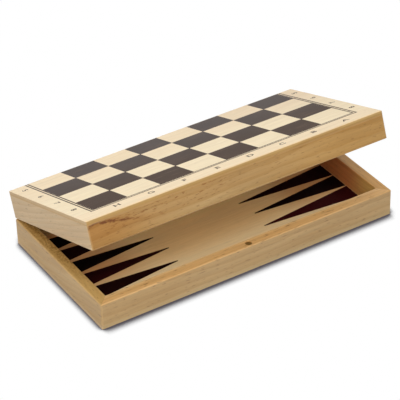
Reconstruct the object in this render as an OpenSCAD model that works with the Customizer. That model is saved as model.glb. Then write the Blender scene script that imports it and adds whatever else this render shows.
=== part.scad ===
// Folding games box for chess and backgammon: two shallow wooden trays on two butt hinges.
// X runs along the hinges, Y from the front to the back, Z up.
// The origin is the centre of the face that the box rests on.

/* [Box] */
// Length of the box along its hinged side
box_length = 300; // [290:1:330]
// Depth of the closed box from front to back
box_depth = 150; // [146:1:170]
// Height of each tray
tray_height = 26; // [20:0.5:40]
// Thickness of the four rails of each tray
rail_thickness = 10; // [9:0.5:12]
// Thickness of the panel glued over the rails
panel_thickness = 3.5; // [3:0.5:6]
// Gap between the two rims when the box is closed
rim_gap = 0.3; // [0.2:0.1:0.6]
// How far the lid stands open, where 0 is closed
lid_opening = 19.5; // [0:0.1:160]

/* [Edges] */
// Rounding of the outer edge of each rim
rim_round = 1.2; // [0.8:0.1:1.9]
// Rounding of the edges round the printed outer faces
face_round = 0.5; // [0.3:0.1:1]
// Rounding of the upright corners
corner_round = 1; // [0.5:0.1:2]
// Chamfer of the inner edge of each rim
inner_ease = 0.5; // [0.2:0.1:1]

/* [Chessboard] */
// Width of a chess square along the box
file_pitch = 33; // [31:0.1:33.5]
// Depth of a chess square from front to back
rank_pitch = 32.1; // [31:0.1:33.5]
// How far the print of a dark square spreads over its light neighbours
square_spread = 0.25; // [0.1:0.05:0.5]
// Border to the left of the squares
left_border = 19; // [14:0.1:22]
// Border in front of the squares
front_border = 23; // [18:0.1:24]
// Width of each line round the squares
line_width = 1.3; // [0.5:0.1:1.4]
// Step from the inner line to the outer line
line_pitch = 2.4; // [1.6:0.1:3]
// Depth of the inlaid dark squares, lines and points
print_depth = 0.3; // [0.2:0.1:0.5]

/* [Backgammon points] */
// Width of one point with its share of the gap
point_pitch = 20.7; // [19:0.1:21]
// Length of a black point from the end wall to its tip
black_length = 92.5; // [70:0.5:110]
// Length of a maroon point from the end wall to its tip
maroon_length = 96; // [70:0.5:110]
// Width of a point at its blunt tip
tip_width = 1.1; // [0.3:0.1:1.5]
// How far the row of points sits in front of the middle
point_shift = 0.6; // [0:0.1:1.8]
// How far the right-hand points sit behind the left-hand ones
point_skew = 0.9; // [0:0.1:1]
// How far the tips sit to the left of their middle
point_slide = 0.9; // [0:0.1:3]
// Gap between neighbouring points at the wall
point_gap = 0.8; // [0.2:0.1:1.5]

/* [Hinges] */
// Distance of each hinge's middle from the box's middle
hinge_spacing = 95; // [60:1:115]
// Length of a hinge along the box
hinge_length = 25; // [20:1:32]
// Width of a leaf from the pin's axis
leaf_width = 9; // [8:0.5:9.5]
// Thickness of a leaf
leaf_thickness = 0.9; // [0.8:0.1:1.2]
// Outer radius of a knuckle
knuckle_radius = 1.7; // [1.6:0.1:2]
// Radius of the hinge pin
pin_radius = 0.8; // [0.6:0.05:0.9]
// Gap between neighbouring knuckles
knuckle_gap = 0.3; // [0.2:0.1:0.6]
// Distance of the pin's axis behind the back rail
hinge_offset = 0.2; // [0.15:0.05:0.5]

/* [Screws and magnets] */
// Length of a hinge screw
screw_length = 8; // [6:0.5:10]
// Radius of a screw's shank
shank_radius = 0.9; // [0.7:0.1:1]
// Radius of a countersunk screw head
head_radius = 1.7; // [1.5:0.1:2]
// Radius of a catch magnet
magnet_radius = 3; // [2:0.5:3.5]
// Thickness of a catch magnet
magnet_height = 3; // [2:0.5:5]
// Distance of a magnet's middle from the box's front face
magnet_inset = 4.4; // [4:0.1:5]
// How far a magnet lies below the rim
magnet_recess = 0.6; // [0:0.1:1]

/* [Hidden] */
$fn = 48;

pine = [0.80, 0.63, 0.40];
pale_wood = [0.95, 0.87, 0.73];
dark_print = [0.30, 0.26, 0.25];
black_print = [0.06, 0.05, 0.06];
maroon_print = [0.22, 0.06, 0.07];
brass = [0.80, 0.63, 0.30];
nickel = [0.62, 0.60, 0.57];

half_length = box_length / 2;
half_depth = box_depth / 2;
inner_length = box_length - 2 * rail_thickness;
closed_height = 2 * tray_height + rim_gap;
overshoot = 1;

// The hinge axis lies midway between the rims, just behind the back face
hinge_y = half_depth + hinge_offset;
hinge_z = tray_height + rim_gap / 2;

// The field has 8 files across both trays and 4 ranks on each
files = 8;
ranks = 4;
field_left = left_border - half_length;
field_front = front_border - half_depth;
field_length = files * file_pitch;
board_margin = 0.2;
field_back = half_depth - face_round - board_margin;
line_clearance = 0.1;

points_per_end = 6;
wall_clearance = 0.1;

knuckles = 5;
knuckle_length = hinge_length / knuckles;
swing_clearance = 0.3;
pin_clearance = 0.05;
// The leaf ends inside the wall of its own knuckles
leaf_join = 1;
leaf_top = -rim_gap / 2;
leaf_bottom = leaf_top - leaf_thickness;

screw_step = 8.5;
screw_row = 5.4;
head_height = 0.8;
tip_length = 1.5;
tip_radius = 0.15;
slot_length = 2.4;
slot_width = 0.35;
slot_depth = 0.4;
hole_clearance = 0.05;
magnet_y = magnet_inset - half_depth;
magnet_top = tray_height - magnet_recess;

// Places a tray part that is drawn face down, so that it becomes the lid at its opening
module on_lid() {
    translate([0, hinge_y, hinge_z])
        rotate([-lid_opening, 0, 0])
            translate([0, -hinge_y, closed_height - hinge_z])
                mirror([0, 0, 1])
                    children();
}

// Waste outside a rounded edge that runs along Z, with the wood towards -X and -Y
module edge_waste(radius, length) {
    difference() {
        translate([0, 0, -length / 2])
            cube([radius + overshoot, radius + overshoot, length]);
        cylinder(r = radius, h = length + 2 * overshoot, center = true);
    }
}

// Waste round all four sides at one height, for the rim or for the outer face
module ring_waste(radius, height, flip) {
    for (side = [0, 1]) {
        mirror([0, side, 0])
            translate([0, half_depth - radius, height])
                mirror([0, 0, flip])
                    rotate([90, 0, 90])
                        edge_waste(radius, box_length + 2 * overshoot);
        mirror([side, 0, 0])
            translate([half_length - radius, 0, height])
                mirror([0, 0, flip])
                    rotate([90, 0, 0])
                        edge_waste(radius, box_depth + 2 * overshoot);
    }
}

// The outer form of one tray, with its outer face down at Z = 0 and its rim on top
module tray_block() {
    difference() {
        translate([-half_length, -half_depth, 0])
            cube([box_length, box_depth, tray_height]);
        ring_waste(rim_round, tray_height - rim_round, 0);
        ring_waste(face_round, face_round, 1);
        for (x_side = [0, 1], y_side = [0, 1])
            mirror([x_side, 0, 0])
                mirror([0, y_side, 0])
                    translate([half_length - corner_round, half_depth - corner_round, tray_height / 2])
                        edge_waste(corner_round, tray_height + 2 * overshoot);
    }
}

// Plan of a long rail, on the front side, with a mitre at each end
module long_rail_plan() {
    outer_x = half_length + overshoot;
    outer_y = half_depth + overshoot;
    inner_x = half_length - rail_thickness;
    inner_y = half_depth - rail_thickness;
    polygon([[-outer_x, -outer_y], [outer_x, -outer_y], [inner_x, -inner_y], [-inner_x, -inner_y]]);
}

// Plan of a short rail, on the left side, with a mitre at each end
module short_rail_plan() {
    outer_x = half_length + overshoot;
    outer_y = half_depth + overshoot;
    inner_x = half_length - rail_thickness;
    inner_y = half_depth - rail_thickness;
    polygon([[-outer_x, -outer_y], [-inner_x, -inner_y], [-inner_x, inner_y], [-outer_x, outer_y]]);
}

// A square bar turned on its edge, which chamfers the inner edge of a rim
module chamfer_bar(length) {
    side = inner_ease * sqrt(2);
    rotate([45, 0, 0])
        cube([length, side, side], center = true);
}

// A long rail on the front side
module long_rail() {
    difference() {
        intersection() {
            tray_block();
            translate([0, 0, panel_thickness])
                linear_extrude(tray_height)
                    long_rail_plan();
        }
        translate([0, rail_thickness - half_depth, tray_height])
            chamfer_bar(box_length);
    }
}

// A short rail on the left side
module short_rail() {
    difference() {
        intersection() {
            tray_block();
            translate([0, 0, panel_thickness])
                linear_extrude(tray_height)
                    short_rail_plan();
        }
        translate([rail_thickness - half_length, 0, tray_height])
            rotate([0, 0, 90])
                chamfer_bar(box_depth);
    }
}

// The front rail has a blind bore for the catch magnet
module front_rail() {
    difference() {
        long_rail();
        translate([0, magnet_y, magnet_top - magnet_height])
            cylinder(r = magnet_radius + hole_clearance, h = magnet_height + magnet_recess + overshoot);
    }
}

// Places its children on the axis of each hinge
module at_hinge(side) {
    translate([side * hinge_spacing, hinge_y, hinge_z])
        children();
}

// Places its children at each screw of one hinge, on the leaf's top
module at_screws() {
    for (step = [-1 : 1])
        translate([step * screw_step, -screw_row, leaf_top])
            children();
}

// Room in a back rail for one leaf, its knuckles and its screws
module hinge_recess() {
    relief_radius = knuckle_radius + swing_clearance;
    pilot_depth = screw_length + hole_clearance;
    rotate([0, 90, 0])
        cylinder(r = relief_radius, h = hinge_length + 2 * swing_clearance, center = true);
    translate([-hinge_length / 2, -leaf_width, leaf_bottom])
        cube([hinge_length, leaf_width, leaf_thickness + overshoot]);
    at_screws()
        translate([0, 0, -pilot_depth])
            cylinder(r = shank_radius + hole_clearance, h = pilot_depth);
}

// The back rail has a recess for each hinge
module back_rail() {
    difference() {
        mirror([0, 1, 0])
            long_rail();
        for (side = [-1, 1])
            at_hinge(side)
                hinge_recess();
    }
}

// Plan of the dark squares, where the parity says which squares are dark
module dark_squares_plan(parity) {
    for (file = [0 : files - 1], rank = [0 : ranks - 1])
        if ((file + rank) % 2 == parity) {
            cell_left = field_left + file * file_pitch;
            cell_front = field_front + rank * rank_pitch;
            left = max(cell_left - square_spread, field_left + line_clearance);
            right = min(cell_left + file_pitch + square_spread, field_left + field_length - line_clearance);
            front = max(cell_front - square_spread, field_front + line_clearance);
            back = min(cell_front + rank_pitch + square_spread, field_back);
            translate([left, front])
                square([right - left, back - front]);
        }
}

// Plan of one line round three sides of the field, open at the hinges
module border_line_plan(distance) {
    outer = distance + line_width;
    difference() {
        translate([field_left - outer, field_front - outer])
            square([field_length + 2 * outer, field_back - field_front + outer]);
        translate([field_left - distance, field_front - distance])
            square([field_length + 2 * distance, field_back - field_front + distance + overshoot]);
    }
}

// Plan of both lines round the field
module border_lines_plan() {
    for (line = [0, 1])
        border_line_plan(line * line_pitch);
}

// Plan of the points of one colour, three at each end wall, pointing to the middle
module points_plan(parity, length) {
    base_x = inner_length / 2 - wall_clearance;
    tip_x = inner_length / 2 - length;
    half_base = (point_pitch - point_gap) / 2;
    half_tip = tip_width / 2;
    for (row = [0 : points_per_end - 1], end = [0, 1])
        if ((row + end) % 2 == parity) {
            side = end == 0 ? -1 : 1;
            row_y = (row - (points_per_end - 1) / 2) * point_pitch - point_shift + end * point_skew;
            polygon([
                [side * base_x, row_y - half_base],
                [side * tip_x - point_slide, row_y - half_tip],
                [side * tip_x - point_slide, row_y + half_tip],
                [side * base_x, row_y + half_base]
            ]);
        }
}

// An inlay in the outer face of a panel
module face_inlay() {
    linear_extrude(print_depth)
        children();
}

// An inlay in the floor of a tray
module floor_inlay() {
    translate([0, 0, panel_thickness - print_depth])
        linear_extrude(print_depth)
            children();
}

// The panel, with shallow pockets for the squares and lines outside and the points inside
module panel(parity) {
    difference() {
        intersection() {
            tray_block();
            translate([-half_length - overshoot, -half_depth - overshoot, -overshoot])
                cube([box_length + 2 * overshoot, box_depth + 2 * overshoot, panel_thickness + overshoot]);
        }
        translate([0, 0, -overshoot])
            linear_extrude(print_depth + overshoot) {
                dark_squares_plan(parity);
                border_lines_plan();
            }
        translate([0, 0, panel_thickness - print_depth])
            linear_extrude(print_depth + overshoot) {
                points_plan(parity, black_length);
                points_plan(1 - parity, maroon_length);
            }
    }
}

// A flat disc magnet, a little below the rim
module magnet() {
    translate([0, magnet_y, magnet_top - magnet_height])
        cylinder(r = magnet_radius, h = magnet_height);
}

// A cylinder on the hinge axis
module on_axis(radius, length) {
    rotate([0, 90, 0])
        cylinder(r = radius, h = length, center = true);
}

// One leaf with every second knuckle, starting with the first one named
module leaf(first) {
    plate_end = -knuckle_radius - swing_clearance;
    own_length = knuckle_length - knuckle_gap;
    difference() {
        union() {
            translate([-hinge_length / 2, -leaf_width, leaf_bottom])
                cube([hinge_length, leaf_width + plate_end, leaf_thickness]);
            for (knuckle = [first : 2 : knuckles - 1])
                translate([(knuckle + 0.5) * knuckle_length - hinge_length / 2, 0, 0]) {
                    on_axis(knuckle_radius, own_length);
                    translate([-own_length / 2, plate_end - overshoot, leaf_bottom])
                        cube([own_length, overshoot - plate_end - leaf_join, leaf_thickness]);
                }
        }
        on_axis(pin_radius + pin_clearance, hinge_length + 2 * overshoot);
        at_screws() {
            translate([0, 0, -head_height])
                cylinder(r1 = shank_radius, r2 = head_radius, h = head_height);
            translate([0, 0, -leaf_thickness - overshoot])
                cylinder(r = shank_radius + hole_clearance, h = leaf_thickness + overshoot);
            cylinder(r = head_radius, h = overshoot);
        }
    }
}

// A countersunk wood screw with a cross recess, its head flush at the origin
module screw() {
    difference() {
        union() {
            translate([0, 0, -head_height])
                cylinder(r1 = shank_radius, r2 = head_radius, h = head_height);
            translate([0, 0, tip_length - screw_length])
                cylinder(r = shank_radius, h = screw_length - tip_length - head_height);
            translate([0, 0, -screw_length])
                cylinder(r1 = tip_radius, r2 = shank_radius, h = tip_length);
        }
        for (turn = [0, 90])
            rotate([0, 0, turn])
                cube([slot_length, slot_width, 2 * slot_depth], center = true);
    }
}

// The three screws of each hinge, in one tray
module hinge_screws() {
    for (side = [-1, 1])
        at_hinge(side)
            at_screws()
                screw();
}

module base_front_rail() {
    color(pine) front_rail();
}
module base_back_rail() {
    color(pine) back_rail();
}
module base_left_rail() {
    color(pine) short_rail();
}
module base_right_rail() {
    color(pine) mirror([1, 0, 0]) short_rail();
}
module base_panel() {
    color(pale_wood) panel(1);
}
module base_dark_squares() {
    color(dark_print) face_inlay() dark_squares_plan(1);
}
module base_border_lines() {
    color(dark_print) face_inlay() border_lines_plan();
}
module base_black_points() {
    color(black_print) floor_inlay() points_plan(1, black_length);
}
module base_maroon_points() {
    color(maroon_print) floor_inlay() points_plan(0, maroon_length);
}
module base_magnet() {
    color(nickel) magnet();
}
module base_hinge_screws() {
    color(brass) hinge_screws();
}
module left_hinge_base_leaf() {
    color(brass) at_hinge(-1) leaf(0);
}
module right_hinge_base_leaf() {
    color(brass) at_hinge(1) leaf(0);
}
module left_hinge_pin() {
    color(brass) at_hinge(-1) on_axis(pin_radius, hinge_length);
}
module right_hinge_pin() {
    color(brass) at_hinge(1) on_axis(pin_radius, hinge_length);
}
module lid_front_rail() {
    color(pine) on_lid() front_rail();
}
module lid_back_rail() {
    color(pine) on_lid() back_rail();
}
module lid_left_rail() {
    color(pine) on_lid() short_rail();
}
module lid_right_rail() {
    color(pine) on_lid() mirror([1, 0, 0]) short_rail();
}
module lid_panel() {
    color(pale_wood) on_lid() panel(0);
}
module lid_dark_squares() {
    color(dark_print) on_lid() face_inlay() dark_squares_plan(0);
}
module lid_border_lines() {
    color(dark_print) on_lid() face_inlay() border_lines_plan();
}
module lid_black_points() {
    color(black_print) on_lid() floor_inlay() points_plan(0, black_length);
}
module lid_maroon_points() {
    color(maroon_print) on_lid() floor_inlay() points_plan(1, maroon_length);
}
module lid_magnet() {
    color(nickel) on_lid() magnet();
}
module lid_hinge_screws() {
    color(brass) on_lid() hinge_screws();
}
module left_hinge_lid_leaf() {
    color(brass) on_lid() at_hinge(-1) leaf(1);
}
module right_hinge_lid_leaf() {
    color(brass) on_lid() at_hinge(1) leaf(1);
}

base_front_rail();
base_back_rail();
base_left_rail();
base_right_rail();
base_panel();
base_dark_squares();
base_border_lines();
base_black_points();
base_maroon_points();
base_magnet();
base_hinge_screws();
left_hinge_base_leaf();
right_hinge_base_leaf();
left_hinge_pin();
right_hinge_pin();
lid_front_rail();
lid_back_rail();
lid_left_rail();
lid_right_rail();
lid_panel();
lid_dark_squares();
lid_border_lines();
lid_black_points();
lid_maroon_points();
lid_magnet();
lid_hinge_screws();
left_hinge_lid_leaf();
right_hinge_lid_leaf();
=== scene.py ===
import math
import bmesh
import bpy
from mathutils import Matrix, Vector


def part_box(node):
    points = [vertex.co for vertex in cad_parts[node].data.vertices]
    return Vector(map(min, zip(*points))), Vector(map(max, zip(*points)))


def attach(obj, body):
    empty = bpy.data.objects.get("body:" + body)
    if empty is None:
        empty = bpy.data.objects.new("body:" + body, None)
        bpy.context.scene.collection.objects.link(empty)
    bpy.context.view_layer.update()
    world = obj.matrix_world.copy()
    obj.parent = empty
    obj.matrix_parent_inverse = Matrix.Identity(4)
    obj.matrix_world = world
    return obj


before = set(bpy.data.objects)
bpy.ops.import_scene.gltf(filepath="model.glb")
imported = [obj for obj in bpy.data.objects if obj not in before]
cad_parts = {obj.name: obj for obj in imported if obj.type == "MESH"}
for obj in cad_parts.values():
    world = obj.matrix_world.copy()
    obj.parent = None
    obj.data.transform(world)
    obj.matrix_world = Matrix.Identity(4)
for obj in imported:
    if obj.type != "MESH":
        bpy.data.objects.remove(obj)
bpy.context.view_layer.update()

MM = 0.001
TRAYS = ("base", "lid")
SIDES = ("left", "right")

# Sizes of the box, as in the part's source
HALF_LENGTH = 150 * MM
HALF_DEPTH = 75 * MM
RAIL_WIDTH = 10 * MM
TRAY_HEIGHT = 26 * MM
CLOSED_HEIGHT = 52.3 * MM
PANEL_THICKNESS = 3.5 * MM
LID_OPENING = math.radians(19.5)
HINGE = Vector((0, 75.2 * MM, 26.15 * MM))

# Turns between the lid's place at rest and its place when it is shut
CLOSE_LID = (
    Matrix.Translation(HINGE)
    @ Matrix.Rotation(LID_OPENING, 4, "X")
    @ Matrix.Translation(-HINGE)
)
OPEN_LID = CLOSE_LID.inverted()


# Helpers for node trees

SOCKET_TYPES = {"value": "NodeSocketFloat", "vector": "NodeSocketVector"}


class Graph:
    """Adds nodes to a tree, where an input may be a plain value or another node's output."""

    def __init__(self, tree):
        self.tree = tree

    def node(self, kind, **settings):
        made = self.tree.nodes.new(kind)
        for name, value in settings.items():
            setattr(made, name, value)
        return made

    def feed(self, socket, value):
        if isinstance(value, bpy.types.NodeSocket):
            self.tree.links.new(value, socket)
        elif value is not None:
            if socket.type == "RGBA" and len(value) == 3:
                value = (*value, 1)
            socket.default_value = value

    def math(self, operation, a, b=None, c=None):
        made = self.node("ShaderNodeMath", operation=operation)
        for socket, value in zip(made.inputs, (a, b, c)):
            self.feed(socket, value)
        return made.outputs[0]

    def plus(self, a, b):
        return self.math("ADD", a, b)

    def minus(self, a, b):
        return self.math("SUBTRACT", a, b)

    def times(self, a, b):
        return self.math("MULTIPLY", a, b)

    def least(self, a, b):
        return self.math("MINIMUM", a, b)

    def most(self, a, b):
        return self.math("MAXIMUM", a, b)

    def absolute(self, value):
        return self.math("ABSOLUTE", value)

    def vector_math(self, operation, a, b=None):
        made = self.node("ShaderNodeVectorMath", operation=operation)
        self.feed(made.inputs[0], a)
        self.feed(made.inputs[1], b)
        return made.outputs["Value" if operation == "LENGTH" else "Vector"]

    def split(self, vector):
        made = self.node("ShaderNodeSeparateXYZ")
        self.feed(made.inputs[0], vector)
        return made.outputs

    def join(self, x, y, z):
        made = self.node("ShaderNodeCombineXYZ")
        for socket, value in zip(made.inputs, (x, y, z)):
            self.feed(socket, value)
        return made.outputs[0]

    def grey(self, value):
        return self.join(value, value, value)

    def noise(self, vector, scale, detail=2.0, roughness=0.5):
        """Noise from 0 to 1, with its scale per metre along each axis."""
        made = self.node("ShaderNodeTexNoise", noise_dimensions="3D")
        self.feed(made.inputs["Vector"], self.vector_math("MULTIPLY", vector, scale))
        made.inputs["Scale"].default_value = 1
        made.inputs["Detail"].default_value = detail
        made.inputs["Roughness"].default_value = roughness
        return made.outputs["Fac"]

    def step(self, value, low, high, smooth=True):
        """0 below low and 1 above high; low may be the larger one, and then it falls."""
        made = self.node("ShaderNodeMapRange", interpolation_type="SMOOTHSTEP" if smooth else "LINEAR")
        for name, wanted in (("Value", value), ("From Min", low), ("From Max", high)):
            self.feed(made.inputs[name], wanted)
        return made.outputs["Result"]

    def span(self, value, low, high):
        """Spreads a value from 0 to 1 over low to high."""
        made = self.node("ShaderNodeMapRange", interpolation_type="LINEAR")
        for name, wanted in (("Value", value), ("To Min", low), ("To Max", high)):
            self.feed(made.inputs[name], wanted)
        return made.outputs["Result"]

    def mix(self, factor, a, b, blend="MIX"):
        made = self.node("ShaderNodeMix", data_type="RGBA", blend_type=blend)
        self.feed(made.inputs["Factor"], factor)
        self.feed(made.inputs[6], a)
        self.feed(made.inputs[7], b)
        return made.outputs[2]

    def tinted(self, amount, colour, tint):
        """Multiplies a colour by a tint, as far as the amount says."""
        return self.mix(amount, colour, tint, "MULTIPLY")

    def shaded(self, colour, value):
        """Multiplies a colour by one value."""
        return self.mix(1, colour, self.grey(value), "MULTIPLY")

    def group(self, tree, **values):
        made = self.node("ShaderNodeGroup", node_tree=tree)
        for name, value in values.items():
            self.feed(made.inputs[name.replace("_", " ")], value)
        return made.outputs

    def place(self):
        return self.node("ShaderNodeTexCoord").outputs["Object"]

    def moved(self, vector, matrix):
        """A place moved by a matrix that only turns and shifts."""
        made = self.node("ShaderNodeMapping")
        self.feed(made.inputs["Vector"], vector)
        made.inputs["Location"].default_value = matrix.to_translation()
        made.inputs["Rotation"].default_value = matrix.to_euler()
        return made.outputs[0]

    def bump(self, height, distance, strength):
        made = self.node("ShaderNodeBump")
        made.inputs["Strength"].default_value = strength
        made.inputs["Distance"].default_value = distance
        self.feed(made.inputs["Height"], height)
        return made.outputs[0]


def new_group(name, inputs, outputs):
    """A shader node group with named inputs and outputs, and the graph inside it."""
    tree = bpy.data.node_groups.new(name, "ShaderNodeTree")
    for label, kind, value in inputs:
        socket = tree.interface.new_socket(name=label, in_out="INPUT", socket_type=SOCKET_TYPES[kind])
        if value is not None:
            socket.default_value = value
    for label, kind in outputs:
        tree.interface.new_socket(name=label, in_out="OUTPUT", socket_type=SOCKET_TYPES[kind])
    graph = Graph(tree)
    entry = graph.node("NodeGroupInput").outputs
    leave = graph.node("NodeGroupOutput").inputs
    return tree, graph, entry, leave


def empty_material(name):
    material = bpy.data.materials.new(name)
    material.use_nodes = True
    material.node_tree.nodes.clear()
    return material, Graph(material.node_tree)


def new_material(name, specular):
    """A material with a Principled shader, its graph and the shader's inputs."""
    material, graph = empty_material(name)
    shader = graph.node("ShaderNodeBsdfPrincipled")
    shader.inputs["Specular IOR Level"].default_value = specular
    out = graph.node("ShaderNodeOutputMaterial")
    graph.feed(out.inputs["Surface"], shader.outputs[0])
    return material, graph, shader.inputs


# Places on the box, measured with the lid shut

def closed_place(g, body):
    """Object coordinates as they are with the lid shut."""
    place = g.place()
    return g.moved(place, CLOSE_LID) if body == "lid" else place


def corners(points):
    """Lowest and highest corner of the box round some points."""
    low = Vector([min(point[axis] for point in points) for axis in range(3)])
    high = Vector([max(point[axis] for point in points) for axis in range(3)])
    return low, high


def closed_box(name, body):
    """Lowest and highest corner of a node with the lid shut."""
    if body == "base":
        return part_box(name)
    return corners([CLOSE_LID @ vertex.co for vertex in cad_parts[name].data.vertices])


def seam_height(body):
    """Where the rails meet the panel."""
    return PANEL_THICKNESS if body == "base" else CLOSED_HEIGHT - PANEL_THICKNESS


def rim_height(body):
    """The rails' free edge, which meets the other tray."""
    return TRAY_HEIGHT if body == "base" else CLOSED_HEIGHT - TRAY_HEIGHT


def depth_in_tray(g, body, axes):
    """How deep a point lies under the printed face of its tray."""
    return axes["Z"] if body == "base" else g.minus(CLOSED_HEIGHT, axes["Z"])


def from_faces(g, axes):
    """How far a point lies inside the ends of the box, and inside its front and back."""
    from_end = g.minus(HALF_LENGTH, g.absolute(axes["X"]))
    from_side = g.minus(HALF_DEPTH, g.absolute(axes["Y"]))
    return from_end, from_side


# Effects that several finishes share

def make_board_grain():
    """Growth rings about a pith line along X, with fibres, short flecks and slow changes of tone."""
    tree, g, entry, leave = new_group(
        "board_grain",
        [("Place", "vector", None), ("Ring Step", "value", 6 * MM), ("Sway", "value", 3 * MM)],
        [("Rings", "value"), ("Fibres", "value"), ("Flecks", "value"), ("Tone", "value")],
    )
    place = entry["Place"]
    axes = g.split(place)
    radius = g.vector_math("LENGTH", g.join(0, axes["Y"], axes["Z"]))
    drift = g.minus(g.noise(place, (7, 30, 30)), 0.5)
    fray = g.minus(g.noise(place, (60, 420, 420)), 0.5)
    wander = g.plus(drift, g.times(fray, 0.12))
    bent = g.math("MULTIPLY_ADD", wander, g.times(entry["Sway"], 4), radius)
    turn = g.math("FRACT", g.math("DIVIDE", bent, entry["Ring Step"]))
    rise = g.math("POWER", turn, 2.2)
    fall = g.step(turn, 1, 0.9)
    g.feed(leave["Rings"], g.times(rise, fall))
    g.feed(leave["Fibres"], g.noise(place, (28, 620, 620), 4, 0.62))
    g.feed(leave["Flecks"], g.step(g.noise(place, (130, 800, 800)), 0.6, 0.72))
    g.feed(leave["Tone"], g.noise(place, (9, 55, 55), 3))
    return tree


def make_edge_wear():
    """How near a point is to an edge of the box between two corners, with a worn, uneven border."""
    tree, g, entry, leave = new_group(
        "edge_wear",
        [
            ("Place", "vector", None), ("Low", "vector", None), ("High", "vector", None),
            ("Width", "value", 1.5 * MM),
        ],
        [("Wear", "value")],
    )
    place = entry["Place"]
    below = g.split(g.vector_math("SUBTRACT", place, entry["Low"]))
    above = g.split(g.vector_math("SUBTRACT", entry["High"], place))
    a, b, c = (g.most(0, g.least(low, high)) for low, high in zip(below, above))
    small = g.least(a, b)
    middle = g.least(g.most(a, b), c)
    nearest = g.most(small, middle)
    ragged = g.span(g.noise(place, (90, 90, 90), 3), 0.3, 1.5)
    g.feed(leave["Wear"], g.step(nearest, g.times(entry["Width"], ragged), 0))
    return tree


def make_joint_lines():
    """Thin glue lines at the mitred corners and where the rails meet the panel."""
    tree, g, entry, leave = new_group(
        "joint_lines",
        [("Place", "vector", None), ("Seam", "value", PANEL_THICKNESS), ("Width", "value", 0.3 * MM)],
        [("Line", "value")],
    )
    axes = g.split(entry["Place"])
    from_end, from_side = from_faces(g, axes)
    mitre = g.times(g.absolute(g.minus(from_end, from_side)), math.sqrt(0.5))
    seam = g.absolute(g.minus(axes["Z"], entry["Seam"]))
    broken = g.span(g.noise(entry["Place"], (120, 120, 120)), 0.4, 1.4)
    g.feed(leave["Line"], g.step(g.least(mitre, seam), g.times(entry["Width"], broken), 0))
    return tree


def make_print_wear():
    """Thin places in a printed colour, where pores and rubbed fibres of the wood show through."""
    tree, g, entry, leave = new_group(
        "print_wear",
        [("Place", "vector", None), ("Amount", "value", 0.3)],
        [("Thin", "value"), ("Height", "value")],
    )
    place = entry["Place"]
    fibres = g.noise(place, (40, 900, 900), 4, 0.65)
    patches = g.noise(place, (35, 60, 60), 3)
    rubbed = g.times(g.step(fibres, 0.5, 0.72), g.step(patches, 0.35, 0.7))
    g.feed(leave["Thin"], g.times(rubbed, entry["Amount"]))
    g.feed(leave["Height"], fibres)
    return tree


def make_brushing():
    """Fine brush marks along X with dull, tarnished patches."""
    tree, g, entry, leave = new_group(
        "brushing",
        [("Place", "vector", None), ("Fineness", "value", 1.0)],
        [("Marks", "value"), ("Tarnish", "value")],
    )
    place = g.vector_math("MULTIPLY", entry["Place"], g.grey(entry["Fineness"]))
    g.feed(leave["Marks"], g.noise(place, (160, 6000, 6000), 3, 0.6))
    g.feed(leave["Tarnish"], g.step(g.noise(place, (420, 420, 420), 4, 0.6), 0.42, 0.68))
    return tree


BOARD_GRAIN = make_board_grain()
EDGE_WEAR = make_edge_wear()
JOINT_LINES = make_joint_lines()
PRINT_WEAR = make_print_wear()
BRUSHING = make_brushing()


# Marks and painted light that one rail alone has

KNOT_X = -140.7 * MM
KNOT_DEPTH = 3.6 * MM
KNOT_BEND = 2.5 * MM
KNOT_SLOPE = 0.23
SPECKS_X = -70 * MM


def past_knot_line(g, place, axes, below):
    """How far a point lies under the line that starts level at the knot and sinks to the right."""
    away = g.minus(axes["X"], KNOT_X)
    arm = g.math("SQRT", g.math("MULTIPLY_ADD", away, away, KNOT_BEND ** 2))
    wobble = g.times(g.minus(g.noise(place, (170, 60, 90)), 0.5), 5 * MM)
    return g.minus(below, g.plus(g.math("MULTIPLY_ADD", arm, KNOT_SLOPE, KNOT_DEPTH), wobble))


def dark_specks(g, place, axes, below):
    """Short specks about a place on the rail, clear of its upper and lower edge."""
    specks = g.step(g.noise(place, (130, 200, 520), 2, 0.6), 0.57, 0.68)
    aside = g.absolute(g.minus(axes["X"], SPECKS_X))
    specks = g.times(specks, g.step(aside, 85 * MM, 30 * MM))
    specks = g.times(specks, g.step(below, 3 * MM, 6 * MM))
    return g.times(specks, g.step(below, 20 * MM, 14 * MM))


def knot_streak(g, place, colour):
    """A reddish streak that sinks from the rail's left end over a warm stain, with specks after it, and
    painted light from the floor at the lower left.
    """
    axes = g.split(place)
    below = depth_in_tray(g, "lid", axes)
    past = past_knot_line(g, place, axes, below)
    dashes = g.span(g.step(g.noise(place, (230, 300, 900), 3, 0.6), 0.38, 0.56), 0.25, 1)
    streak = g.times(g.step(g.absolute(past), 2.2 * MM, 0.4 * MM), dashes)
    streak = g.times(streak, g.step(axes["X"], -92 * MM, -118 * MM))
    stain = g.times(g.step(past, -6 * MM, 1 * MM), g.step(axes["X"], -60 * MM, -135 * MM))
    left = g.step(axes["X"], 20 * MM, -120 * MM)
    right = g.step(axes["X"], 0, 110 * MM)
    top = g.step(below, 6.5 * MM, 4 * MM)
    # Painted light from the floor: the lower left of the face turns paler and bluer
    foot = g.times(g.step(below, 14 * MM, 22 * MM), g.step(axes["X"], 70 * MM, -20 * MM))
    colour = g.tinted(left, colour, (0.93, 0.88, 0.8))
    colour = g.tinted(stain, colour, (0.9, 0.76, 0.53))
    colour = g.tinted(foot, colour, (1.05, 1.13, 1.27))
    colour = g.tinted(top, colour, (0.92, 0.84, 0.67))
    colour = g.tinted(right, colour, (1.06, 1.0, 0.82))
    colour = g.tinted(dark_specks(g, place, axes, below), colour, (0.6, 0.42, 0.26))
    return g.tinted(streak, colour, (0.42, 0.25, 0.13))


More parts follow.
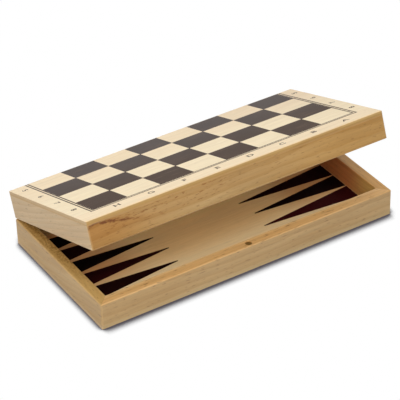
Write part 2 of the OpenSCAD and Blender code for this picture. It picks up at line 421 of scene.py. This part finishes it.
def bounce_and_highlight_edges(g, place, colour):
    """The foot of the rail and the inner edge of its rim, made paler: painted light from the floor at
    the foot and a painted highlight along the rim's inner edge.
    """
    axes = g.split(place)
    foot = g.step(axes["Z"], 10 * MM, 2 * MM)
    near_rim = g.step(axes["Z"], TRAY_HEIGHT - 2 * MM, TRAY_HEIGHT - 0.5 * MM)
    inner = g.times(g.step(axes["Y"], -70 * MM, -66 * MM), near_rim)
    return g.tinted(g.most(foot, inner), colour, (1.07, 1.14, 1.26))


def shaded_speckled_rim(g, place, colour):
    """The rim, a little paler, with painted shade broken into brown specks towards the hinges and
    towards its inner edge.
    """
    axes = g.split(place)
    on_rim = g.step(axes["Z"], TRAY_HEIGHT - 1.5 * MM, TRAY_HEIGHT - 0.3 * MM)
    back = g.step(axes["Y"], -62 * MM, 20 * MM)
    inner = g.span(g.step(axes["X"], -148 * MM, -142 * MM), 0.4, 1)
    speckled = g.span(g.step(g.noise(place, (600, 600, 600), 2, 0.6), 0.4, 0.6), 0.15, 1.25)
    shade_and_specks = g.times(on_rim, g.times(g.times(back, inner), speckled))
    colour = g.tinted(on_rim, colour, (1.05, 1.03, 1.0))
    return g.tinted(shade_and_specks, colour, (0.62, 0.52, 0.36))


def red_bounce_wall(g, place, colour):
    """The inner side of the rail, warmer, and darker and redder towards the hinges: painted shade
    tinted by light bounced off the red points.
    """
    axes = g.split(place)
    wall = HALF_LENGTH - RAIL_WIDTH
    inner = g.step(axes["X"], wall + 1 * MM, wall + 0.3 * MM)
    patches = g.span(g.noise(place, (40, 40, 60)), 0.8, 1.1)
    red = g.times(g.step(axes["Y"], -56 * MM, -18 * MM), patches)
    colour = g.tinted(inner, colour, (1.08, 0.98, 0.72))
    return g.tinted(g.times(inner, red), colour, (0.97, 0.58, 0.7))


# Shading of the panels

def floor_painted_shade(g, axes, colour):
    """The tray floor with painted light: painted shade across the middle, paler behind it, and darker
    and redder at its ends, painted shade tinted by light off the red points.
    """
    middle = g.times(g.step(axes["Y"], -38 * MM, -16 * MM), g.step(axes["Y"], 25 * MM, -5 * MM))
    behind = g.step(axes["Y"], 2 * MM, 24 * MM)
    end = g.step(g.absolute(axes["X"]), 62 * MM, 108 * MM)
    # Painted shade, reddened by light off the points, at the ends of the floor
    rubbed = g.times(end, g.step(axes["Y"], -45 * MM, 5 * MM))
    colour = g.tinted(middle, colour, (0.97, 0.87, 0.75))
    colour = g.tinted(behind, colour, (1.12, 1.1, 1.04))
    return g.tinted(rubbed, colour, (0.75, 0.55, 0.46))


def face_falloff_and_warmth(g, axes, colour):
    """The printed face: painted shade towards the far right, where the light falls off, and warmer
    towards the hinges and along the front edge.
    """
    far_right = g.step(g.plus(axes["X"], axes["Y"]), 40 * MM, 200 * MM)
    border = g.most(g.step(axes["Y"], -50 * MM, -58 * MM), g.step(axes["Y"], 0, 50 * MM))
    front_edge = g.step(axes["Y"], -71 * MM, -74.5 * MM)
    colour = g.tinted(far_right, colour, (0.92, 0.91, 0.93))
    colour = g.tinted(border, colour, (0.99, 0.955, 0.945))
    return g.tinted(front_edge, colour, (1.0, 0.92, 0.76))


def lid_edge(g, axes, depth, colour):
    """The lid panel's edge: a painted highlight along its top towards the right, and darker above the
    seam.
    """
    top = g.times(g.step(depth, 2.2 * MM, 1.6 * MM), g.step(axes["X"], -60 * MM, 110 * MM))
    near_seam = g.step(depth, 2 * MM, 3 * MM)
    colour = g.tinted(top, colour, (1.18, 1.2, 1.25))
    return g.tinted(near_seam, colour, (0.95, 0.86, 0.7))


# Finishes

JOINT_WIDTH = 0.35 * MM
GLUE = (0.2, 0.11, 0.04)
PINE_FLECK = (0.2, 0.09, 0.025)
WORN_PINE = (0.74, 0.5, 0.24)
VENEER_SHIFT = Matrix.Translation((0, 310 * MM, 20 * MM))
FACE_EARLY = (0.895, 0.757, 0.525)
FACE_LATE = (0.775, 0.6, 0.375)
FACE_CLOUD = (0.82, 0.66, 0.44)
FLOOR_EARLY = (0.95, 0.74, 0.42)
FLOOR_LATE = (0.85, 0.6, 0.31)
EDGE_RINGS = (0.7, 0.6, 0.5)
END_GRAIN = (0.62, 0.44, 0.25)
VENEER_FLECK = (0.4, 0.26, 0.12)
WORN_VENEER = (0.8, 0.6, 0.36)


def wear_and_joints(g, name, body, place, width):
    """The worn edges of a node, up to the width given, and the glue lines that cross it."""
    low, high = closed_box(name, body)
    wear = g.group(EDGE_WEAR, Place=place, Low=low, High=high, Width=width)["Wear"]
    line = g.group(JOINT_LINES, Place=place, Seam=seam_height(body), Width=JOINT_WIDTH)["Line"]
    return wear, line


def rail_wood(
    name, body, pith_shift, early, late, ring_step, sway,
    turned=False, lean=0, rim=(1, 1, 1), flecks=0.5, mark=None,
):
    """Varnished pine for one rail, with its own rings, tints and worn edges.

    pith_shift leads from the pith line to the origin, in millimetres as ring_step and sway are.
    turned is for a rail along Y, lean tilts its grain by degrees, and mark adds what it alone has.
    """
    material, g, shader = new_material(name.replace("_", " ") + " pine", specular=0.4)
    place = closed_place(g, body)
    turn = Matrix.Rotation(math.pi / 2 if turned else 0, 4, "Z")
    turn @= Matrix.Rotation(math.radians(lean), 4, "X" if turned else "Y")
    along = g.moved(place, Matrix.Translation(Vector(pith_shift) * MM) @ turn)
    grain = g.group(BOARD_GRAIN, Place=along, Ring_Step=ring_step * MM, Sway=sway * MM)
    wear, line = wear_and_joints(g, name, body, place, 1.8 * MM)

    colour = g.mix(g.times(grain["Rings"], 0.6), early, late)
    colour = g.mix(g.times(g.step(grain["Tone"], 0.3, 0.75), 0.45), colour, late)
    colour = g.shaded(colour, g.span(grain["Fibres"], 0.8, 1.2))
    colour = g.mix(g.times(grain["Flecks"], flecks), colour, PINE_FLECK)
    if mark:
        colour = mark(g, place, colour)
    # The rim tint shifts a band along the rim's edge: a painted highlight on the base's front and left
    # rails, a yellower tone of the wood on its right rail
    from_rim = g.absolute(g.minus(g.split(place)["Z"], rim_height(body)))
    colour = g.tinted(g.step(from_rim, 1.3 * MM, 0.5 * MM), colour, rim)
    colour = g.mix(g.times(wear, 0.3), colour, WORN_PINE)
    g.feed(shader["Base Color"], g.mix(g.times(line, 0.3), colour, GLUE))

    gloss = g.span(grain["Fibres"], 0.32, 0.52)
    g.feed(shader["Roughness"], g.plus(gloss, g.times(wear, 0.1)))
    hollow = g.plus(grain["Flecks"], g.times(line, 2))
    height = g.minus(g.times(grain["Fibres"], 0.6), hollow)
    g.feed(shader["Normal"], g.bump(height, 0.05 * MM, 0.5))
    return material


def panel_wood(name, body, side_grain):
    """Veneered panel: a pale printed face, a warmer tray floor and a darker core at its edges."""
    material, g, shader = new_material(name.replace("_", " ") + " veneer", specular=0.1)
    place = closed_place(g, body)
    grain = g.group(BOARD_GRAIN, Place=g.moved(place, VENEER_SHIFT), Ring_Step=11 * MM, Sway=9 * MM)
    wear, line = wear_and_joints(g, name, body, place, 1.2 * MM)

    axes = g.split(place)
    depth = depth_in_tray(g, body, axes)
    from_end, from_side = from_faces(g, axes)
    inside = g.step(g.least(from_end, from_side), RAIL_WIDTH - 0.3 * MM, RAIL_WIDTH - 0.1 * MM)
    inside = g.times(inside, g.step(depth, 1 * MM, 3 * MM))
    core = g.times(g.step(depth, 0.05 * MM, 0.3 * MM), g.minus(1, inside))

    face = g.mix(g.times(grain["Rings"], 0.3), FACE_EARLY, FACE_LATE)
    face = g.mix(g.times(g.step(grain["Tone"], 0.3, 0.8), 0.22), face, FACE_CLOUD)
    face = face_falloff_and_warmth(g, axes, face)
    floor_wood = g.mix(g.times(grain["Rings"], 0.2), FLOOR_EARLY, FLOOR_LATE)
    edge = g.tinted(g.times(grain["Rings"], 0.5), side_grain, EDGE_RINGS)
    edge = g.mix(g.step(from_end, 0.6 * MM, 0.2 * MM), edge, END_GRAIN)
    if body == "base":
        floor_wood = floor_painted_shade(g, axes, floor_wood)
    else:
        edge = lid_edge(g, axes, depth, edge)

    colour = g.mix(core, g.mix(inside, face, floor_wood), edge)
    colour = g.shaded(colour, g.span(grain["Fibres"], 0.85, 1.15))
    colour = g.mix(g.times(grain["Flecks"], 0.12), colour, VENEER_FLECK)
    colour = g.mix(g.times(wear, 0.2), colour, WORN_VENEER)
    g.feed(shader["Base Color"], g.mix(g.times(g.times(line, core), 0.3), colour, GLUE))
    g.feed(shader["Roughness"], g.span(grain["Fibres"], 0.42, 0.6))
    g.feed(shader["Normal"], g.bump(grain["Fibres"], 0.03 * MM, 0.4))
    return material


def print_ink(label, body, ink, back, painted_light_span, wood, amount, roughness, specular):
    """A printed colour on wood, worn thin along the fibres.

    It turns to the colour called back between two places along Y, which painted_light_span gives in
    millimetres: a painted sheen on the squares towards the hinges, and painted shade on the points.
    """
    material, g, shader = new_material(label, specular)
    place = closed_place(g, body)
    worn = g.group(PRINT_WEAR, Place=place, Amount=amount)
    front, behind = painted_light_span
    colour = g.mix(g.step(g.split(place)["Y"], front * MM, behind * MM), ink, back)
    colour = g.shaded(colour, g.span(g.noise(place, (30, 30, 30)), 0.85, 1.15))
    g.feed(shader["Base Color"], g.mix(worn["Thin"], colour, wood))
    g.feed(shader["Roughness"], g.span(worn["Height"], roughness - 0.08, roughness + 0.1))
    g.feed(shader["Normal"], g.bump(worn["Height"], 0.02 * MM, 0.4))
    return material


def metal(label, body, bright, dull, roughness, fineness):
    """Brushed metal with tarnished patches."""
    material, g, shader = new_material(label, specular=0.5)
    brushed = g.group(BRUSHING, Place=closed_place(g, body), Fineness=fineness)
    colour = g.mix(g.times(brushed["Tarnish"], 0.45), bright, dull)
    colour = g.shaded(colour, g.span(brushed["Marks"], 0.85, 1.15))
    marks = g.span(brushed["Marks"], roughness - 0.08, roughness + 0.1)
    g.feed(shader["Base Color"], colour)
    shader["Metallic"].default_value = 1
    g.feed(shader["Roughness"], g.math("MULTIPLY_ADD", brushed["Tarnish"], 0.15, marks))
    g.feed(shader["Normal"], g.bump(brushed["Marks"], 0.01 * MM, 0.3))
    return material


def dress(name, material):
    """Puts one material on every slot of a node."""
    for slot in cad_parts[name].material_slots:
        slot.material = material


# Wood of the rails

PINE = dict(early=(0.6, 0.38, 0.15), late=(0.44, 0.24, 0.07))
# rim paints a highlight along the rim of the base's front and left rails
RAILS = {
    "base_front_rail": dict(
        pith_shift=(0, 95, -30), ring_step=5.5, sway=3,
        early=(0.56, 0.37, 0.17), late=(0.44, 0.255, 0.087), rim=(1.3, 1.17, 1.0),
        flecks=0.7, mark=bounce_and_highlight_edges,
    ),
    "base_back_rail": dict(pith_shift=(40, -50, 12), ring_step=6, sway=4, **PINE),
    "base_left_rail": dict(
        pith_shift=(0, 170, -25), ring_step=5, sway=3, turned=True, lean=12,
        early=(0.535, 0.345, 0.138), late=(0.43, 0.245, 0.077), rim=(1.08, 1.07, 0.95),
        flecks=0.6, mark=shaded_speckled_rim,
    ),
    "base_right_rail": dict(
        pith_shift=(60, -130, -30), ring_step=6, sway=3, turned=True,
        rim=(1.0, 0.87, 0.66), mark=red_bounce_wall, **PINE,
    ),
    "lid_front_rail": dict(
        pith_shift=(20, 110, -95), ring_step=7, sway=4,
        early=(0.51, 0.315, 0.125), late=(0.37, 0.19, 0.046),
        flecks=0.7, mark=knot_streak,
    ),
    "lid_back_rail": dict(pith_shift=(-30, -40, -60), ring_step=5, sway=4, **PINE),
    "lid_left_rail": dict(
        pith_shift=(10, 175, -70), ring_step=5, sway=4, turned=True, lean=9,
        early=(0.64, 0.455, 0.245), late=(0.49, 0.305, 0.135), flecks=0.4,
    ),
    "lid_right_rail": dict(pith_shift=(0, -170, -20), ring_step=6, sway=3, turned=True, **PINE),
}
for rail, wood in RAILS.items():
    dress(rail, rail_wood(rail, rail.split("_")[0], **wood))

# Panels, print and magnets

PANEL_EDGES = {"base": (0.6, 0.44, 0.23), "lid": (0.5, 0.31, 0.115)}
# back is painted light: a paler, greyer sheen on the dark squares towards the hinges, and painted shade
# on the points there
SQUARE_INK = dict(
    ink=(0.053, 0.029, 0.017), back=(0.073, 0.056, 0.05), painted_light_span=(-45, 70),
    wood=(0.17, 0.11, 0.07), amount=0.85, roughness=0.42, specular=0.05,
)
BLACK_INK = dict(
    ink=(0.011, 0.002, 0.002), back=(0.003, 0.001, 0.001), painted_light_span=(-35, 0),
    wood=(0.03, 0.012, 0.009), amount=0.15, roughness=0.45, specular=0.03,
)
MAROON_INK = dict(
    ink=(0.038, 0.004, 0.005), back=(0.01, 0.0015, 0.002), painted_light_span=(-35, 5),
    wood=(0.07, 0.014, 0.014), amount=0.15, roughness=0.45, specular=0.03,
)
# The magnets' brown is partly their plating and partly a painted reflection of the warm wood round them
MAGNET_METAL_AND_REFLECTION = dict(bright=(0.42, 0.29, 0.11), dull=(0.2, 0.12, 0.04), roughness=0.4, fineness=1.5)
dark_inks = {}
for body in TRAYS:
    dress(f"{body}_panel", panel_wood(f"{body}_panel", body, PANEL_EDGES[body]))
    dark_inks[body] = print_ink(f"{body} dark square ink", body, **SQUARE_INK)
    dress(f"{body}_dark_squares", dark_inks[body])
    dress(f"{body}_border_lines", dark_inks[body])
    dress(f"{body}_black_points", print_ink(f"{body} black point ink", body, **BLACK_INK))
    dress(f"{body}_maroon_points", print_ink(f"{body} maroon point ink", body, **MAROON_INK))
    dress(f"{body}_magnet", metal(f"{body} magnet plating", body, **MAGNET_METAL_AND_REFLECTION))

# Brass of the hinges

NEW_BRASS = dict(bright=(0.6, 0.41, 0.15), dull=(0.34, 0.2, 0.07))
LEAF_BRASS = dict(roughness=0.3, fineness=1, **NEW_BRASS)
PIN_BRASS = dict(roughness=0.35, fineness=2, **NEW_BRASS)
SCREW_BRASS = dict(
    bright=(0.34, 0.22, 0.085), dull=(0.17, 0.1, 0.04), roughness=0.25, fineness=2.5,
)
for body in TRAYS:
    leaf_brass = metal(f"brass of the {body} leaves", body, **LEAF_BRASS)
    for side in SIDES:
        dress(f"{side}_hinge_{body}_leaf", leaf_brass)
    dress(f"{body}_hinge_screws", metal(f"brass of the {body} screws", body, **SCREW_BRASS))
pin_brass = metal("brass of the pins", "base", **PIN_BRASS)
for side in SIDES:
    dress(f"{side}_hinge_pin", pin_brass)


# Printed coordinates of the chessboard

LETTER_HEIGHT = 5.2 * MM
LETTER_WIDENING = 1.25
LETTER_BOLDNESS = 0.02
PRINT_RISE = 0.02 * MM
FIRST_LETTER = Vector((-113.8, -62.6)) * MM
LETTER_STEP = Vector((33, -0.25)) * MM
LEFT_DIGITS = Vector((-140.6, -34.8)) * MM
RIGHT_DIGITS = Vector((143.1, -37.4)) * MM
DIGIT_STEP = Vector((0, 31.8)) * MM
SERIF_LENGTH = 1.9 * MM
SERIF_WIDTH = 0.5 * MM
SERIF_LIFT = 0.005 * MM
# Where each character has a serif, as shares of its width and height
STEM_LEFT = ((0.1, 0), (0.1, 1))
SERIFS = {
    "A": ((0.06, 0), (0.94, 0)), "B": STEM_LEFT, "D": STEM_LEFT, "E": STEM_LEFT, "F": STEM_LEFT,
    "H": ((0.1, 0), (0.1, 1), (0.9, 0), (0.9, 1)), "1": ((0.5, 0),), "4": ((0.7, 0),),
}


def letter_mesh(character):
    """One bold capital or digit with its serifs, flat, centred and LETTER_HEIGHT high."""
    text = bpy.data.curves.new("letter", "FONT")
    text.body = character
    text.offset = LETTER_BOLDNESS
    holder = bpy.data.objects.new("letter", text)
    bpy.context.scene.collection.objects.link(holder)
    bpy.context.view_layer.update()
    mesh = bpy.data.meshes.new_from_object(holder.evaluated_get(bpy.context.evaluated_depsgraph_get()))
    bpy.data.objects.remove(holder)
    low, high = corners([vertex.co for vertex in mesh.vertices])
    scale = LETTER_HEIGHT / (high.y - low.y)
    size = Matrix.Diagonal((scale * LETTER_WIDENING, scale, 1, 1))
    mesh.transform(size @ Matrix.Translation(-(low + high) / 2))
    width = scale * LETTER_WIDENING * (high.x - low.x)
    built = bmesh.new()
    built.from_mesh(mesh)
    serif_size = Matrix.Diagonal((SERIF_LENGTH / 2, SERIF_WIDTH / 2, 1, 1))
    for across, upward in SERIFS.get(character, ()):
        right = (across - 0.5) * width
        up = (upward - 0.5) * (LETTER_HEIGHT - SERIF_WIDTH)
        place = Matrix.Translation((right, up, SERIF_LIFT)) @ serif_size
        bmesh.ops.create_grid(built, x_segments=1, y_segments=1, size=1, matrix=place)
    built.to_mesh(mesh)
    built.free()
    return mesh


def coordinate_places(letters, digits):
    """Character, place and turn of each coordinate on a tray, as seen with the hinges at the top."""
    for file, letter in enumerate(letters):
        yield letter, FIRST_LETTER + file * LETTER_STEP, 0
    for rank, digit in enumerate(digits):
        yield digit, LEFT_DIGITS + rank * DIGIT_STEP, -90
        yield digit, RIGHT_DIGITS + rank * DIGIT_STEP, 90


def make_coordinates(body, letters, digits, ink):
    """The letters and digits round one half of the chessboard, as a thin print on the panel."""
    built = bmesh.new()
    for character, (x, y), turn in coordinate_places(letters, digits):
        mesh = letter_mesh(character)
        if body == "lid":
            place = OPEN_LID @ Matrix.Translation((x, y, CLOSED_HEIGHT + PRINT_RISE))
        else:
            place = Matrix.Translation((x, y, -PRINT_RISE)) @ Matrix.Rotation(math.pi, 4, "Y")
            turn = -turn
        mesh.transform(place @ Matrix.Rotation(math.radians(turn), 4, "Z"))
        built.from_mesh(mesh)
    mesh = bpy.data.meshes.new(f"{body}_coordinates")
    built.to_mesh(mesh)
    built.free()
    mesh.materials.append(ink)
    piece = bpy.data.objects.new(f"{body}_coordinates", mesh)
    bpy.context.scene.collection.objects.link(piece)
    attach(piece, body)


make_coordinates("lid", "HGFEDCBA", "8765", dark_inks["lid"])
make_coordinates("base", "HGFEDCBA", "1234", dark_inks["base"])


# Floor and world

FLOOR_SIZE = 8.0
FLOOR_DROP = 0.1 * MM
FLOOR_COLOUR = (0.75, 0.75, 0.75)
WHITE = (1, 1, 1)
AMBIENT = 0.22
CONTACT_REACH = 10.4 * MM
SHADOW_LEAN = Vector((-0.12, 0.12, 1))
SHADOW_COLOUR = (0.095, 0.085, 0.096)
SHADOW_SOFTNESS = 0.6
# How open a spot on the floor is where its shadow is full, and how much less open it needs to be
# beside the ends of the box to show white
FULL_SHADOW = 0.54
END_RELIEF = 0.13


def seen_ray(g):
    """1 for rays that show the background: from the camera, off gloss or through glass."""
    path = g.node("ShaderNodeLightPath").outputs
    return g.most(path["Is Camera Ray"], g.most(path["Is Glossy Ray"], path["Is Transmission Ray"]))


def contact_shade(g):
    """1 on the open floor, falling to 0 at the foot of the box, and a little wider on one side."""
    openness = g.node("ShaderNodeAmbientOcclusion", samples=16)
    openness.inputs["Distance"].default_value = CONTACT_REACH
    g.feed(openness.inputs["Normal"], g.join(*SHADOW_LEAN.normalized()))
    across = g.absolute(g.split(g.place())["X"])
    beside = g.step(across, HALF_LENGTH - 3 * MM, HALF_LENGTH + 3 * MM)
    open_enough = g.minus(1, g.times(beside, END_RELIEF))
    even = g.step(openness.outputs["AO"], FULL_SHADOW, open_enough, smooth=False)
    soft = g.step(openness.outputs["AO"], FULL_SHADOW, open_enough)
    return g.math("MULTIPLY_ADD", g.minus(soft, even), SHADOW_SOFTNESS, even)


def make_floor():
    """A pale floor that is white to the eye away from the box and shades at its foot."""
    half = FLOOR_SIZE / 2
    outline = ((-half, -half), (half, -half), (half, half), (-half, half))
    mesh = bpy.data.meshes.new("floor")
    mesh.from_pydata([(x, y, -FLOOR_DROP) for x, y in outline], [], [(0, 1, 2, 3)])
    floor = bpy.data.objects.new("floor", mesh)
    bpy.context.scene.collection.objects.link(floor)
    material, g = empty_material("pale floor")
    lit = g.node("ShaderNodeBsdfDiffuse")
    g.feed(lit.inputs["Color"], FLOOR_COLOUR)
    shown = g.node("ShaderNodeEmission")
    g.feed(shown.inputs["Color"], g.mix(contact_shade(g), SHADOW_COLOUR, WHITE))
    surface = g.node("ShaderNodeMixShader")
    for socket, value in zip(surface.inputs, (seen_ray(g), lit.outputs[0], shown.outputs[0])):
        g.feed(socket, value)
    out = g.node("ShaderNodeOutputMaterial")
    g.feed(out.inputs["Surface"], surface.outputs[0])
    mesh.materials.append(material)


def make_world():
    """A white background that lights the box only a little."""
    world = bpy.data.worlds.new("studio")
    world.use_nodes = True
    world.node_tree.nodes.clear()
    g = Graph(world.node_tree)
    background = g.node("ShaderNodeBackground")
    g.feed(background.inputs["Color"], WHITE)
    g.feed(background.inputs["Strength"], g.most(seen_ray(g), AMBIENT))
    out = g.node("ShaderNodeOutputWorld")
    g.feed(out.inputs["Surface"], background.outputs[0])
    bpy.context.scene.world = world


make_floor()
make_world()


# Lamps and camera

BOX_MIDDLE = Vector((0, 0, 0.04))
SOFTBOX_SIZE = 0.8
SOFTBOXES = {
    "left softbox": dict(place=(-0.55, -0.55, 0.75), watts=7.4),
    "right softbox": dict(place=(0.7, -0.5, 0.85), watts=2.2),
    "back softbox": dict(place=(0.1, 0.7, 0.9), watts=6.3),
}

# The photograph's camera, with its lens in millimetres for the sensor's width
CAMERA_AZIMUTH = math.radians(31.536)
CAMERA_ELEVATION = math.radians(34.916)
CAMERA_ROLL = math.radians(1.555)
CAMERA_DISTANCE = 1.82265
CAMERA_AIM = Vector((-4.428, 0.395, 32.164)) * MM
CAMERA_LENS = 185.326
SENSOR_WIDTH = 36


def add_softbox(name, place, watts):
    """A square area lamp that faces the middle of the box."""
    light = bpy.data.lights.new(name, "AREA")
    light.shape = "SQUARE"
    light.size = SOFTBOX_SIZE
    light.energy = watts
    lamp = bpy.data.objects.new(name, light)
    lamp.location = place
    lamp.rotation_euler = (BOX_MIDDLE - Vector(place)).to_track_quat("-Z", "Y").to_euler()
    bpy.context.scene.collection.objects.link(lamp)


def add_camera():
    """The camera looks at its aim from the photograph's direction, rolled a little about its axis."""
    forward = Vector((
        math.sin(CAMERA_AZIMUTH) * math.cos(CAMERA_ELEVATION),
        math.cos(CAMERA_AZIMUTH) * math.cos(CAMERA_ELEVATION),
        -math.sin(CAMERA_ELEVATION),
    ))
    level = Vector((math.cos(CAMERA_AZIMUTH), -math.sin(CAMERA_AZIMUTH), 0))
    upright = level.cross(forward)
    right = level * math.cos(CAMERA_ROLL) - upright * math.sin(CAMERA_ROLL)
    up = right.cross(forward)
    turn = Matrix((right, up, -forward)).transposed()
    data = bpy.data.cameras.new("camera")
    data.sensor_width = SENSOR_WIDTH
    data.lens = CAMERA_LENS
    camera = bpy.data.objects.new("camera", data)
    camera.matrix_world = Matrix.Translation(CAMERA_AIM - forward * CAMERA_DISTANCE) @ turn.to_4x4()
    bpy.context.scene.collection.objects.link(camera)
    bpy.context.scene.camera = camera


for name, softbox in SOFTBOXES.items():
    add_softbox(name, **softbox)
add_camera()
bpy.context.scene.view_settings.view_transform = "Standard"
